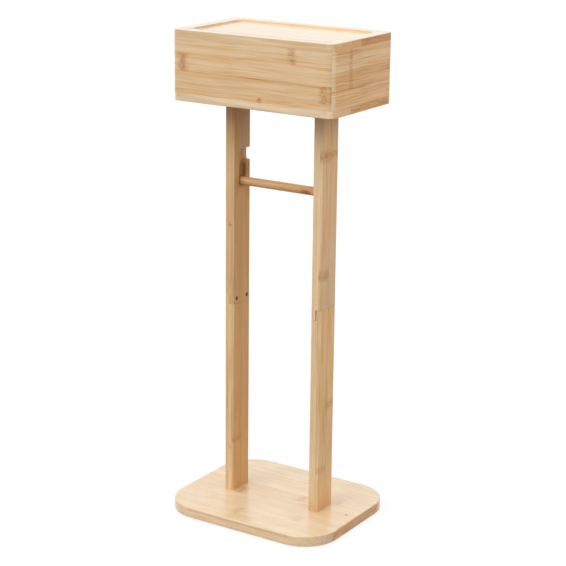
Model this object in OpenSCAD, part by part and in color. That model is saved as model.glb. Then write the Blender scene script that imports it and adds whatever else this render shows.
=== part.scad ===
// Free-standing bamboo stand for a toilet roll, with a lidded box on top.
// Origin on the ground under the centre of the base, +Z up, front towards -Y.
// All sizes are in millimetres.

/* [Base] */
// Width of the base plate
base_w = 260; // [220:1:320]
// Depth of the base plate
base_d = 210; // [180:1:260]
// Thickness of the base plate
base_t = 15; // [12:0.5:22]
// Radius of the base plate's corners
base_corner_r = 52; // [30:1:70]
// Radius of the rounding along the base plate's top edge
base_edge_r = 1.5; // [1:0.5:5]
// Radius of the rounding along the base plate's bottom edge
base_low_r = 1; // [0.5:0.5:3]
// Diameter of the non-slip pads
pad_d = 18; // [12:1:28]
// Thickness of the non-slip pads
pad_t = 1.5; // [1:0.1:3]
// Distance from the base's sides to the centres of the pads
pad_inset = 32; // [24:1:45]

/* [Posts] */
// Clear width between the two posts
post_gap = 126; // [115:1:150]
// Thickness of a post, across the stand
post_t = 15; // [13:0.5:20]
// Depth of a post, front to back
post_d = 38; // [34:1:50]
// Height of a post between the base and the box
post_h = 568; // [480:1:640]
// Radius of the posts' eased long edges
post_edge_r = 1.5; // [0.5:0.5:3]
// Height of the half lap's middle above the base
lap_rise = 286; // [220:1:340]
// Height of the half lap that joins the two pieces of a post
lap_len = 14.5; // [12:0.5:30]
// Glue line between the two tongues of the half lap
lap_gap = 0.2; // [0.1:0.1:0.5]
// Width of the slit that shows between the right post's tongues
right_slit = 1.8; // [0.6:0.1:3]
// Width of the slit that shows between the left post's tongues
left_slit = 0.7; // [0.4:0.1:3]
// Depth of the slits from a post's front and back
slit_depth = 4.5; // [1:0.5:4.5]
// Width of the shadow lines along the half lap's joints
lap_line = 0.4; // [0.2:0.1:1]
// Depth of the shadow lines
lap_line_depth = 0.4; // [0.2:0.1:0.8]

/* [Roll rod] */
// Diameter of the rod
rod_d = 12; // [10:0.5:16]
// Size of the bevel at the rod's ends
rod_ease = 0.5; // [0.3:0.1:1.5]
// Distance from the underside of the box down to the rod's axis
rod_drop = 116; // [90:1:150]
// Gap between each end of the rod and its groove's floor
rod_end_gap = 1; // [0.5:0.1:2]
// Depth of the grooves in the posts' inner faces
groove_depth = 6.5; // [5:0.5:8]
// Width of a groove beyond the rod's diameter
groove_play = 4; // [2:0.5:6]
// Height of the hook's top above the rod's axis
hook_rise = 27; // [18:1:40]
// Radius of the hook's rounded corner
hook_ease = 3; // [1:0.5:5]
// Height of the groove's mouth beyond the rod's diameter
mouth_play = 5.5; // [4:0.5:14]
// Radius of the round corners along the mouth's floor
mouth_r = 2.5; // [1:0.5:4]
// Gap between the resting rod and the bottom of its seat
seat_gap = 0.3; // [0.1:0.1:0.5]

/* [Box] */
// Width of the box
box_w = 250; // [210:1:300]
// Depth of the box
box_d = 154; // [130:1:190]
// Radius of the box's upright corners
box_corner_r = 10; // [4:0.5:14]
// Radius of the rounding along the outer edges of the box's floor and lid
box_edge_r = 1; // [0.5:0.5:2]
// Thickness of the box's floor board
floor_t = 10; // [8:0.5:14]
// Thickness of the box's walls
wall_t = 10; // [8:0.5:14]
// Height of the box's walls
wall_h = 75; // [50:1:110]

/* [Lid] */
// Thickness of the lid board
lid_t = 10; // [8:0.5:14]
// Gap between the closed lid and the walls
lid_gap = 0.1; // [0.1:0.1:0.6]
// Width of the rim around the tray
tray_rim = 17.5; // [12:0.5:30]
// Depth of the tray
tray_depth = 3; // [1.5:0.5:5]
// Radius of the tray's corners
tray_corner_r = 12; // [4:1:16]
// Width of the battens under the lid
batten_w = 12; // [8:1:20]
// Height of the battens under the lid
batten_h = 6; // [4:0.5:12]
// Play between the battens and the walls
batten_play = 1; // [0.5:0.1:2]

/* [Fasteners] */
// Diameter of the flat-head bolts
bolt_d = 6; // [5:0.5:7]
// Diameter of the bolts' heads
bolt_head_d = 12; // [10:0.5:14]
// Width of the hexagonal sockets, across the flats
socket_w = 4; // [3:0.5:5]
// Depth of the hexagonal sockets
socket_depth = 2.5; // [1.5:0.5:3.5]
// Length of the bolts through the base
base_bolt_len = 26; // [22:1:34]
// Length of the bolts through the box's floor
box_bolt_len = 21; // [18:1:30]
// Diameter of the threaded inserts
insert_d = 9; // [8:0.5:10]
// Length of the threaded inserts
insert_len = 13; // [9:0.5:20]
// Distance from a post's front and back to its bolts
bolt_edge = 10; // [8:0.5:13]
// Diameter of the lap screws
screw_d = 3; // [2.5:0.5:4]
// Diameter of the lap screws' heads
screw_head_d = 6; // [5:0.5:8]
// Length of the lap screws
screw_len = 12.5; // [10:0.5:14]
// Length of the lap screws' points
screw_point = 3; // [2:0.5:5]
// Diameter of the lap screws' tips
screw_tip_d = 0.8; // [0.4:0.2:1.6]
// Length of the cross recess in the lap screws' heads
recess_len = 3; // [2:0.5:4]
// Width of the cross recess
recess_w = 0.8; // [0.5:0.1:1.2]
// Depth of the cross recess
recess_depth = 1; // [0.5:0.1:1.2]
// Distance from a post's front and back to its lap screws
screw_edge = 6.5; // [5:0.5:10]
// Diameter of the dowels
dowel_d = 5; // [4:0.5:6]
// Length of the dowels
dowel_len = 18; // [14:1:26]
// Depth of the dowels in the faces that they enter
dowel_in = 6; // [4:0.5:7]
// Distance from a wall's ends to its outer floor dowels
floor_dowel_end = 30; // [20:1:45]
// Thickness of the splines in the box's mitred corners
spline_t = 3; // [2:0.5:4]
// Width of the splines, half of it in each wall
spline_w = 7; // [5:0.5:9]
// Distance from a mitre's inner edge to the middle of its spline
spline_in = 4.5; // [3.5:0.5:6]
// Distance from the top of the walls down to the splines
spline_stop = 10; // [6:1:25]

/* [Clearances] */
// Radial clearance of dowels, inserts and bolt threads in their holes
fit = 0.05; // [0.02:0.01:0.1]
// Radial clearance of bolts and screws in the pieces that they pass through
pass = 0.3; // [0.2:0.1:0.5]
// Depth that a blind hole has beyond what stands in it
spare = 0.5; // [0.3:0.1:1.5]

/* [Hidden] */
$fn = 64;
// How far a cut reaches past the face that it opens
past = 1;
bamboo = "#d8b483";
bamboo_dark = "#c79a64";
dowel_wood = "#dcc59a";
brown_steel = "#5e4029";
zinc = "#b9bcc0";
rubber = "#3b3b3d";

// Levels, from the ground up
base_z = pad_t;
post_z = base_z + base_t;
lap_z = post_z + lap_rise;
box_z = post_z + post_h;
wall_z = box_z + floor_t;
lid_z = wall_z + wall_h + lid_gap;

// The box's inside
inner_w = box_w - 2 * wall_t;
inner_d = box_d - 2 * wall_t;

// Places across the stand
post_x = post_gap / 2 + post_t / 2;
bolt_y = post_d / 2 - bolt_edge;
screw_y = post_d / 2 - screw_edge;

// The rod, and the groove that its ends drop into, with heights from the rod's axis
rod_z = box_z - rod_drop;
rod_len = post_gap + 2 * (groove_depth - rod_end_gap);
groove_w = rod_d + groove_play;
seat_low = -rod_d / 2 - seat_gap;
mouth_top = hook_rise + rod_d + mouth_play;

// The two sides of the middle, as factors
SIDES = [-1, 1];

// Outline helpers

// Rectangle about the origin with round corners
module round_rect(w, d, r) {
    square([w - 2 * r, d], center = true);
    square([w, d - 2 * r], center = true);
    for (x = SIDES, y = SIDES)
        translate([x * (w / 2 - r), y * (d / 2 - r)]) circle(r);
}

// Section through a board of width w that stands on its middle, rounded along its edges:
// top and low are the radii of its upper and lower corners
module board_section(w, t, top, low) {
    translate([-w / 2 + low, 0]) square([w - 2 * low, t - top]);
    translate([-w / 2 + top, low]) square([w - 2 * top, t - low]);
    translate([-w / 2, low]) square([w, t - top - low]);
    for (x = SIDES) {
        if (top > 0) translate([x * (w / 2 - top), t - top]) circle(top);
        if (low > 0) translate([x * (w / 2 - low), low]) circle(low);
    }
}

// Board with round corners whose upper and lower edges are rounded
module round_board(w, d, t, corner, top = 0, low = 0) {
    translate([-w / 2 + corner, 0, 0]) rotate([90, 0, 90])
        linear_extrude(w - 2 * corner) board_section(d, t, top, low);
    translate([0, d / 2 - corner, 0]) rotate([90, 0, 0])
        linear_extrude(d - 2 * corner) board_section(w, t, top, low);
    for (x = SIDES, y = SIDES)
        translate([x * (w / 2 - corner), y * (d / 2 - corner), 0]) rotate_extrude()
            intersection() {
                board_section(2 * corner, t, top, low);
                square([corner, t]);
            }
}

// Fasteners, each with its head's face on z = 0 and its shank along +Z

module bolt(len) {
    head_h = (bolt_head_d - bolt_d) / 2;
    difference() {
        union() {
            cylinder(h = head_h, d1 = bolt_head_d, d2 = bolt_d);
            cylinder(h = len, d = bolt_d);
        }
        translate([0, 0, -past])
            cylinder(h = past + socket_depth, d = socket_w / cos(30), $fn = 6);
    }
}

// Hole for a bolt in the board that its head sits in
module bolt_hole(board) {
    wide = bolt_head_d + 2 * pass;
    narrow = bolt_d + 2 * pass;
    translate([0, 0, -past]) cylinder(h = past, d = wide);
    cylinder(h = (wide - narrow) / 2, d1 = wide, d2 = narrow);
    cylinder(h = board + past, d = narrow);
}

// Threaded insert from z = 0 up
module insert() {
    difference() {
        cylinder(h = insert_len, d = insert_d);
        translate([0, 0, -past])
            cylinder(h = insert_len + 2 * past, d = bolt_d + 2 * fit);
    }
}

// Hole for an insert, and for the bolt that reaches deep into it
module insert_hole(deep) {
    translate([0, 0, -past]) cylinder(h = past + insert_len + fit, d = insert_d + 2 * fit);
    cylinder(h = deep + spare, d = bolt_d + 2 * pass);
}

module lap_screw() {
    head_h = (screw_head_d - screw_d) / 2;
    shank = screw_len - screw_point;
    difference() {
        union() {
            cylinder(h = head_h, d1 = screw_head_d, d2 = screw_d);
            cylinder(h = shank, d = screw_d);
            translate([0, 0, shank]) cylinder(h = screw_point, d1 = screw_d, d2 = screw_tip_d);
        }
        // Cross recess
        for (a = [0, 90])
            rotate([0, 0, a]) translate([-recess_len / 2, -recess_w / 2, -past])
                cube([recess_len, recess_w, past + recess_depth]);
    }
}

module lap_screw_hole() {
    wide = screw_head_d + 2 * pass;
    narrow = screw_d + 2 * fit;
    translate([0, 0, -past]) cylinder(h = past, d = wide);
    cylinder(h = (wide - narrow) / 2, d1 = wide, d2 = narrow);
    cylinder(h = screw_len + spare, d = narrow);
}

// Dowel that stands dowel_in below z = 0
module dowel() translate([0, 0, -dowel_in]) cylinder(h = dowel_len, d = dowel_d);

module dowel_hole() translate([0, 0, -dowel_in - spare])
    cylinder(h = dowel_len + 2 * spare, d = dowel_d + 2 * fit);

// Places of the fasteners and dowels

module at_base_bolts() for (x = SIDES, y = SIDES)
    translate([x * post_x, y * bolt_y, base_z]) children();

module at_box_bolts() for (x = SIDES, y = SIDES)
    translate([x * post_x, y * bolt_y, wall_z]) mirror([0, 0, 1]) children();

module at_lower_ends() for (x = SIDES, y = SIDES)
    translate([x * post_x, y * bolt_y, post_z]) children();

module at_upper_ends() for (x = SIDES, y = SIDES)
    translate([x * post_x, y * bolt_y, box_z]) mirror([0, 0, 1]) children();

// Lap screws enter from the inner faces
module at_lap_screws() for (x = SIDES, y = SIDES)
    translate([x * post_gap / 2, y * screw_y, lap_z]) rotate([0, x * 90, 0]) children();

// The mitres' inner edges, with +Y pointing outwards along each mitre
module at_mitres() for (x = SIDES, y = SIDES)
    translate([x * inner_w / 2, y * inner_d / 2, wall_z]) rotate([0, 0, atan2(-x, y)]) children();

// Floor dowels stand in the floor board and reach up into the walls
module at_floor_dowels() {
    long_x = box_w / 2 - floor_dowel_end;
    short_y = inner_d / 2 - floor_dowel_end;
    for (x = [-long_x, 0, long_x], y = SIDES)
        translate([x, y * (box_d - wall_t) / 2, wall_z]) children();
    for (x = SIDES, y = SIDES)
        translate([x * (box_w - wall_t) / 2, y * short_y, wall_z]) children();
}

// Base

module base_plate() color(bamboo) difference() {
    translate([0, 0, base_z])
        round_board(base_w, base_d, base_t, base_corner_r, base_edge_r, base_low_r);
    at_base_bolts() bolt_hole(base_t);
}

module base_pads() color(rubber)
    for (x = SIDES, y = SIDES)
        translate([x * (base_w / 2 - pad_inset), y * (base_d / 2 - pad_inset), 0])
            cylinder(h = pad_t, d = pad_d);

module base_bolts() color(zinc) at_base_bolts() translate([0, 0, fit]) bolt(base_bolt_len);

module base_inserts() color(zinc) at_lower_ends() insert();

// Posts, drawn for the right side

module post_blank(low, high) translate([post_x, 0, low])
    linear_extrude(high - low) round_rect(post_t, post_d, post_edge_r);

// What the lower piece of a post loses at the half lap, about the lap's middle.
// Turned over, it is what the upper piece loses.
module lap_cut(slit) {
    reach = post_t / 2 + past;
    translate([-reach, -post_d / 2 - past, -lap_len / 2])
        cube([reach + lap_gap / 2, post_d + 2 * past, lap_len + past]);
    for (y = SIDES)
        translate([0, y * post_d / 2, past / 2])
            cube([slit, 2 * slit_depth, lap_len + past], center = true);
    // Shadow lines at the tongue's end and at the shoulder
    translate([0, 0, (lap_len - lap_line) / 2]) linear_extrude(lap_line / 2 + past) post_rim();
    translate([0, 0, -(lap_len + lap_line) / 2]) linear_extrude(lap_line / 2 + past)
        intersection() {
            post_rim();
            translate([-reach, -post_d / 2 - past])
                square([reach + lap_gap / 2, post_d + 2 * past]);
        }
}

// Plan of a thin rim round a post
module post_rim() difference() {
    square([post_t + 2 * past, post_d + 2 * past], center = true);
    round_rect(post_t - 2 * lap_line_depth, post_d - 2 * lap_line_depth, post_edge_r);
}

// Side view of the groove's round seat and straight channel, with the hook's rounded corner
module groove_profile() {
    r = groove_w / 2;
    translate([0, seat_low + r]) circle(r);
    translate([-r, seat_low + r]) square([groove_w, mouth_top - seat_low - groove_w]);
    translate([0, mouth_top - r]) circle(r);
    difference() {
        translate([0, hook_rise - hook_ease]) square([r + hook_ease, 2 * hook_ease]);
        translate([r + hook_ease, hook_rise - hook_ease]) circle(hook_ease);
    }
}

// Back view of the groove's mouth, with the round corners that the cutter leaves
module mouth_profile() {
    tall = mouth_top - hook_rise;
    translate([-past, 0]) square([past + groove_depth - mouth_r, tall]);
    translate([-past, mouth_r]) square([past + groove_depth, tall - 2 * mouth_r]);
    for (z = [mouth_r, tall - mouth_r])
        translate([groove_depth - mouth_r, z]) circle(mouth_r);
}

// Groove in a post's inner face: it runs up from the seat, over the hook and out at the back
module groove() translate([post_gap / 2, 0, rod_z]) {
    translate([-past, 0, 0]) rotate([90, 0, 90])
        linear_extrude(groove_depth + past) groove_profile();
    translate([0, post_d / 2 + past, hook_rise]) rotate([90, 0, 0])
        linear_extrude(post_d / 2 + past) mouth_profile();
}

module lower_post(slit) difference() {
    post_blank(post_z, lap_z + lap_len / 2);
    translate([post_x, 0, lap_z]) lap_cut(slit);
    at_lower_ends() insert_hole(base_bolt_len - base_t);
    at_lap_screws() lap_screw_hole();
}

module upper_post(slit) difference() {
    post_blank(lap_z - lap_len / 2, box_z);
    translate([post_x, 0, lap_z]) rotate([0, 180, 0]) lap_cut(slit);
    at_upper_ends() insert_hole(box_bolt_len - floor_t);
    at_lap_screws() lap_screw_hole();
    groove();
}

module left_lower_post() color(bamboo) mirror([1, 0, 0]) lower_post(left_slit);
module right_lower_post() color(bamboo) lower_post(right_slit);
module left_upper_post() color(bamboo_dark) mirror([1, 0, 0]) upper_post(left_slit);
module right_upper_post() color(bamboo_dark) upper_post(right_slit);

module lap_screws() color(brown_steel) at_lap_screws() translate([0, 0, fit]) lap_screw();

// Rod

module roll_rod() color(bamboo_dark) translate([-rod_len / 2, 0, rod_z]) rotate([0, 90, 0]) {
    tip_d = rod_d - 2 * rod_ease;
    cylinder(h = rod_ease, d1 = tip_d, d2 = rod_d);
    translate([0, 0, rod_ease]) cylinder(h = rod_len - 2 * rod_ease, d = rod_d);
    translate([0, 0, rod_len - rod_ease]) cylinder(h = rod_ease, d1 = rod_d, d2 = tip_d);
}

// Box

module box_outline() round_rect(box_w, box_d, box_corner_r);

module box_floor() color(bamboo) difference() {
    translate([0, 0, box_z])
        round_board(box_w, box_d, floor_t, box_corner_r, low = box_edge_r);
    at_box_bolts() bolt_hole(floor_t);
    at_floor_dowels() dowel_hole();
}

module box_inserts() color(zinc) at_upper_ends() insert();

module box_bolts() color(zinc) at_box_bolts() translate([0, 0, fit]) bolt(box_bolt_len);

// Wall with mitred ends; its child is its plan before the box's corners are rounded
module wall() difference() {
    translate([0, 0, wall_z]) linear_extrude(wall_h) intersection() {
        box_outline();
        children();
    }
    at_mitres() spline_slot();
    at_floor_dowels() dowel_hole();
}

// Front or back wall: side -1 is the front
module long_wall(side) wall()
    polygon([[-box_w / 2, side * box_d / 2], [box_w / 2, side * box_d / 2],
             [inner_w / 2, side * inner_d / 2], [-inner_w / 2, side * inner_d / 2]]);

// Side wall: side -1 is the left
module short_wall(side) wall()
    polygon([[side * box_w / 2, -box_d / 2], [side * box_w / 2, box_d / 2],
             [side * inner_w / 2, inner_d / 2], [side * inner_w / 2, -inner_d / 2]]);

module front_wall() color(bamboo) long_wall(-1);
module back_wall() color(bamboo) long_wall(1);
module left_wall() color(bamboo_dark) short_wall(-1);
module right_wall() color(bamboo_dark) short_wall(1);

// Splines stand on the floor board, square across the mitres
module corner_splines() color(dowel_wood) at_mitres()
    translate([-spline_w / 2, spline_in - spline_t / 2, 0])
        cube([spline_w, spline_t, wall_h - spline_stop]);

module spline_slot() {
    wide = spline_w + 2 * spare;
    thick = spline_t + 2 * fit;
    translate([-wide / 2, spline_in - thick / 2, -past])
        cube([wide, thick, past + wall_h - spline_stop + spare]);
}

module floor_dowels() color(dowel_wood) at_floor_dowels() dowel();

// Lid

module lid_board() color(bamboo) difference() {
    translate([0, 0, lid_z]) round_board(box_w, box_d, lid_t, box_corner_r, top = box_edge_r);
    translate([0, 0, lid_z + lid_t - tray_depth]) linear_extrude(tray_depth + past)
        round_rect(box_w - 2 * tray_rim, box_d - 2 * tray_rim, tray_corner_r);
}

module lid_battens() color(bamboo_dark) {
    reach = box_w / 2 - wall_t - batten_play;
    long = box_d - 2 * (wall_t + batten_play);
    for (x = SIDES)
        translate([x * (reach - batten_w / 2), 0, lid_z - batten_h / 2])
            cube([batten_w, long, batten_h], center = true);
}

base_plate();
base_pads();
base_bolts();
base_inserts();
left_lower_post();
right_lower_post();
left_upper_post();
right_upper_post();
lap_screws();
box_inserts();
box_bolts();
box_floor();
front_wall();
back_wall();
left_wall();
right_wall();
corner_splines();
floor_dowels();
lid_board();
lid_battens();
roll_rod();
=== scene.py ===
import math

import bmesh
import bpy
from bpy.props import FloatProperty, FloatVectorProperty, PointerProperty
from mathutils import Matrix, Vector


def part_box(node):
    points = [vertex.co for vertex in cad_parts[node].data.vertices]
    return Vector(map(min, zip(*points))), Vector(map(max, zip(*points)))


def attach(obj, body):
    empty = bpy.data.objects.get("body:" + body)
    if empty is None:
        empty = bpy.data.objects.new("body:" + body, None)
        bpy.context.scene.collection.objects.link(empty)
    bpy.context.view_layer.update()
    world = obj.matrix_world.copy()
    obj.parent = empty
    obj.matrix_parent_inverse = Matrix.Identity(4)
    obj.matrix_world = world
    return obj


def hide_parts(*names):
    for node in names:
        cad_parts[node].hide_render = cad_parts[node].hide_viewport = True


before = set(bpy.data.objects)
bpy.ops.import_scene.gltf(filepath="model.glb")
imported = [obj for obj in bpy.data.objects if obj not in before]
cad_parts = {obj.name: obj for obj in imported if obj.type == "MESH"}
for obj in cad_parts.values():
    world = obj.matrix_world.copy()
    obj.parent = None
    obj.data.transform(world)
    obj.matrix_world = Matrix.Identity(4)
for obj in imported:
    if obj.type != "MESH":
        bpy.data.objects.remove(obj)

bl_info = {
    "name": "Bamboo Toilet Roll Stand",
    "version": (1, 0, 0),
    "blender": (4, 5, 0),
    "location": "3D View > Sidebar > Stand",
    "description": "Dresses the packed model of a bamboo stand for a toilet roll",
    "category": "Object",
}

MM = 0.001
FULL_TURN = 2 * math.pi
# How far the first strip and ply reach past a board's faces, in mm, so that no face lies on a glue line
SKIM = 0.2


# Colours and node trees

def linear(text):
    """Linear colour with alpha 1, from an sRGB hex value such as #d9b98b."""
    parts = [int(text[i:i + 2], 16) / 255 for i in (1, 3, 5)]
    return tuple(c / 12.92 if c <= 0.04045 else ((c + 0.055) / 1.055) ** 2.4 for c in parts) + (1.0,)


def add(tree, kind, *values, stops=(), **settings):
    """Adds a node with its settings and links.

    The values fill the sockets that are switched on, in order: a number or colour is set, a socket or a
    node's first output is linked, a list is linked whole, and None leaves the socket as it is.
    stops are the places and colours of a colour ramp."""
    node = tree.nodes.new(kind)
    for name, value in settings.items():
        setattr(node, name, value)
    for number, (place, colour) in enumerate(stops):
        elements = node.color_ramp.elements
        element = elements[number] if number < 2 else elements.new(place)
        element.position = place
        element.color = colour
    for socket, value in zip([s for s in node.inputs if s.enabled], values):
        for item in value if isinstance(value, list) else [value]:
            if isinstance(item, bpy.types.Node):
                item = next(s for s in item.outputs if s.enabled)
            if isinstance(item, bpy.types.NodeSocket):
                tree.links.new(item, socket)
            elif item is not None:
                socket.default_value = item
    return node


def empty_material(name):
    """Material with an empty tree."""
    material = bpy.data.materials.new(name)
    material.use_nodes = True
    material.node_tree.nodes.clear()
    return material, material.node_tree


# What a user may change

class StandSizes(bpy.types.PropertyGroup):
    """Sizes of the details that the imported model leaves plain."""
    ease: FloatProperty(
        name="Eased edges", description="Width that sanding takes off the sharp edges",
        default=0.3 * MM, min=0.05 * MM, max=1.0 * MM, unit="LENGTH")
    strip: FloatProperty(
        name="Strip width", description="Width of one bamboo strip in the box and the lid",
        default=23.5 * MM, min=10 * MM, max=40 * MM, unit="LENGTH")
    base_strip: FloatProperty(
        name="Base strip width", description="Width of one bamboo strip in the base",
        default=21 * MM, min=10 * MM, max=40 * MM, unit="LENGTH")
    post_strip: FloatProperty(
        name="Post strip width", description="Width of one bamboo strip in the posts",
        default=19.2 * MM, min=8 * MM, max=40 * MM, unit="LENGTH")
    ply: FloatProperty(
        name="Ply thickness", description="Thickness of one layer of strips",
        default=5 * MM, min=2 * MM, max=10 * MM, unit="LENGTH")
    thread_pitch: FloatProperty(
        name="Thread pitch", description="Rise of the bolts' thread in one turn",
        default=1 * MM, min=0.5 * MM, max=2 * MM, unit="LENGTH")
    thread_depth: FloatProperty(
        name="Thread depth", description="Depth of the threads of bolts and screws",
        default=0.45 * MM, min=0.1 * MM, max=0.8 * MM, unit="LENGTH")


class StandColours(bpy.types.PropertyGroup):
    """Tones of the wood, from its dark streaks to its palest fibres, and the other finishes."""
    straw_dark: FloatVectorProperty(
        name="Straw, dark", description="Dark streaks of the pale strips",
        subtype="COLOR", size=4, default=linear("#b37c43"))
    straw_tan: FloatVectorProperty(
        name="Straw, tan", description="Darker body of the pale strips",
        subtype="COLOR", size=4, default=linear("#cba06c"))
    straw_mid: FloatVectorProperty(
        name="Straw, middle", description="Body of the pale strips",
        subtype="COLOR", size=4, default=linear("#d9b98e"))
    straw_pale: FloatVectorProperty(
        name="Straw, pale", description="Paler body of the pale strips",
        subtype="COLOR", size=4, default=linear("#e6d1af"))
    straw_cream: FloatVectorProperty(
        name="Straw, cream", description="Palest fibres of the pale strips",
        subtype="COLOR", size=4, default=linear("#f3e2c6"))
    honey_dark: FloatVectorProperty(
        name="Honey, dark", description="Dark streaks of the warm strips",
        subtype="COLOR", size=4, default=linear("#9c5c26"))
    honey_tan: FloatVectorProperty(
        name="Honey, tan", description="Darker body of the warm strips",
        subtype="COLOR", size=4, default=linear("#c2813f"))
    honey_mid: FloatVectorProperty(
        name="Honey, middle", description="Body of the warm strips",
        subtype="COLOR", size=4, default=linear("#e4a95f"))
    honey_pale: FloatVectorProperty(
        name="Honey, pale", description="Paler body of the warm strips",
        subtype="COLOR", size=4, default=linear("#f8c68e"))
    honey_cream: FloatVectorProperty(
        name="Honey, cream", description="Palest fibres of the warm strips",
        subtype="COLOR", size=4, default=linear("#fcd8aa"))
    joint: FloatVectorProperty(
        name="Joint", description="Thin brown line between two strips",
        subtype="COLOR", size=4, default=linear("#a06a36"))
    ring: FloatVectorProperty(
        name="Ring", description="Brown ring where the culm had a joint",
        subtype="COLOR", size=4, default=linear("#96501c"))
    # blot is also the colour that the upper posts' tops turn towards, as painted shade under the box
    blot: FloatVectorProperty(
        name="Blot", description="Reddish patch round a ring",
        subtype="COLOR", size=4, default=linear("#b0663a"))
    # Painted shade: the colour that darkens the walls of the grooves, where the recess lies in shade
    groove_shade: FloatVectorProperty(
        name="Painted_groove_shade", description="Walls of the grooves, browned by the cutter",
        subtype="COLOR", size=4, default=linear("#6c3a22"))
    floor: FloatVectorProperty(
        name="Floor", description="Painted board that the stand is shown on",
        subtype="COLOR", size=4, default=linear("#767676"))


class StandStage(bpy.types.PropertyGroup):
    """Light and camera."""
    sky: FloatProperty(
        name="Sky", description="Strength of the light from the sides", default=0.92, min=0, max=2)
    overhead: FloatProperty(
        name="Overhead", description="Strength of the light from straight above", default=1.0, min=0, max=2)
    lamp: FloatProperty(
        name="Lamp", description="Strength of the soft lamp at the front left", default=1.1, min=0, max=5)
    lamp_spread: FloatProperty(
        name="Lamp spread", description="Angle that the soft lamp fills, seen from the stand",
        default=math.radians(40), min=0, max=math.pi, subtype="ANGLE")
    lens: FloatProperty(
        name="Lens", description="Focal length of the camera",
        default=108.0, min=20, max=300, unit="CAMERA")
    place: FloatVectorProperty(
        name="Camera place", description="Where the camera stands",
        default=(1.21609, -1.88682, 0.97742), subtype="TRANSLATION")
    turn: FloatVectorProperty(
        name="Camera turn", description="How the camera is turned",
        default=[math.radians(a) for a in (73.9661, -0.6093, 32.8681)], subtype="EULER")


# Materials

# What a shader takes for metal, for how solid a thing is, and for how lacquer, rubber and wood refract
NO_METAL, METAL, OPAQUE, REFRACTION = 0.0, 1.0, 1.0, 1.5
# Between these values lies nearly all of a noise
NOISE_SPAN = (0.3, 0.7)

# Bamboo's own measures, in mm: from ring to ring in the culm, how far a ring waves, how far the grain
# wanders, and how far apart in the culm two strips may have grown
RING_SPACING = 280.0
RING_WAVE = 1.2
GRAIN_WANDER = 6.0
STRIP_JUMP = 60.0
# A ring's line and a glue line are at their darkest up to the first place, and end at the second
RING_LINE = (0.3, 1.6)
GLUE_LINE = (0.15, 1.0)
# Reach in mm, and strength of the line and of the blot, of a ring that chance places
CHANCE_RING = (9.0, 0.3, 0.35)
# Share of a strip's width by which each layer is shifted against the one above it
PLY_SHIFT = 0.37
# What each layer adds to its strips' numbers in marks
PLY_STEP = 10.0
# Bands of about 6 mm, streaks of 2 mm and single fibres of 0.5 mm: their scale along and across the grain,
# per mm, their detail, and their weight in the figure
FIGURE = ((0.006, 0.16, 2.0, 0.7), (0.012, 0.5, 2.0, 0.6), (0.03, 1.9, 1.0, 0.6))
# Where each tone stands between the dark streaks and the palest fibres
TONES = ((0.0, "_dark"), (0.3, "_tan"), (0.55, "_mid"), (0.8, "_pale"), (1.0, "_cream"))


def culm_rings(tree, marks, cell, chance, waved, wide):
    """How strong the rings' thin lines are, and the blots round them.

    cell numbers the strip and its layer, and chance is the share that it drew. waved is the place along the
    grain, bent so that a ring lies in gentle waves, and wide the place across it, both in mm."""
    if marks is None:
        far = add(tree, "ShaderNodeMath", chance, RING_SPACING, waved, operation="MULTIPLY_ADD")
        far = add(tree, "ShaderNodeMath", far, RING_SPACING / 2, -RING_SPACING / 2, operation="WRAP")
        rings = [(far, 1.0, *CHANCE_RING)]
    else:
        rings = [(add(tree, "ShaderNodeMath", waved, where, operation="SUBTRACT"),
                  add(tree, "ShaderNodeMath", cell, which, 0.5, operation="COMPARE"), *rest)
                 for which, where, *rest in marks]
    line = blot = 0.0
    for far, here, reach, thin, soft, *knot in rings:
        if knot:
            in_knot = add(tree, "ShaderNodeMath", wide, *knot, operation="COMPARE")
            here = add(tree, "ShaderNodeMath", here, in_knot, operation="MULTIPLY")
        far = add(tree, "ShaderNodeMath", far, operation="ABSOLUTE")
        thin = add(tree, "ShaderNodeMath", here, thin, operation="MULTIPLY")
        soft = add(tree, "ShaderNodeMath", here, soft, operation="MULTIPLY")
        thin = add(tree, "ShaderNodeMapRange", far, *RING_LINE, thin, 0.0)
        soft = add(tree, "ShaderNodeMapRange", far, 0.0, reach, soft, 0.0, interpolation_type="SMOOTHSTEP")
        line = add(tree, "ShaderNodeMath", line, thin, operation="MAXIMUM")
        blot = add(tree, "ShaderNodeMath", blot, soft, operation="MAXIMUM")
    return line, blot


def parted_fibres(tree, drawn, jump, blot):
    """How reddish a blot is from place to place, and what its parted fibres add to the lightness."""
    # Flecks about 5 mm long and 1 mm wide, and patches about 5 mm long and 3 mm wide
    flecks, patches = (
        add(tree, "ShaderNodeTexNoise",
            add(tree, "ShaderNodeVectorMath", drawn, size, jump, operation="MULTIPLY_ADD"), 1.0, 1.0)
        for size in ((0.2, 0.9, 0.9), (0.22, 0.3, 0.3)))
    weakest, fleck_strength, loss = 0.4, 0.25, 0.25
    red = add(tree, "ShaderNodeMapRange", patches, 0.38, 0.62, weakest, 1.0)
    red = add(tree, "ShaderNodeMath", red, blot, operation="MULTIPLY")
    fleck = add(tree, "ShaderNodeMapRange", flecks, 0.35, 0.65, fleck_strength, -fleck_strength)
    fleck = add(tree, "ShaderNodeMath", fleck, blot, operation="MULTIPLY")
    return red, add(tree, "ShaderNodeMath", red, -loss, fleck, operation="MULTIPLY_ADD")


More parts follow.
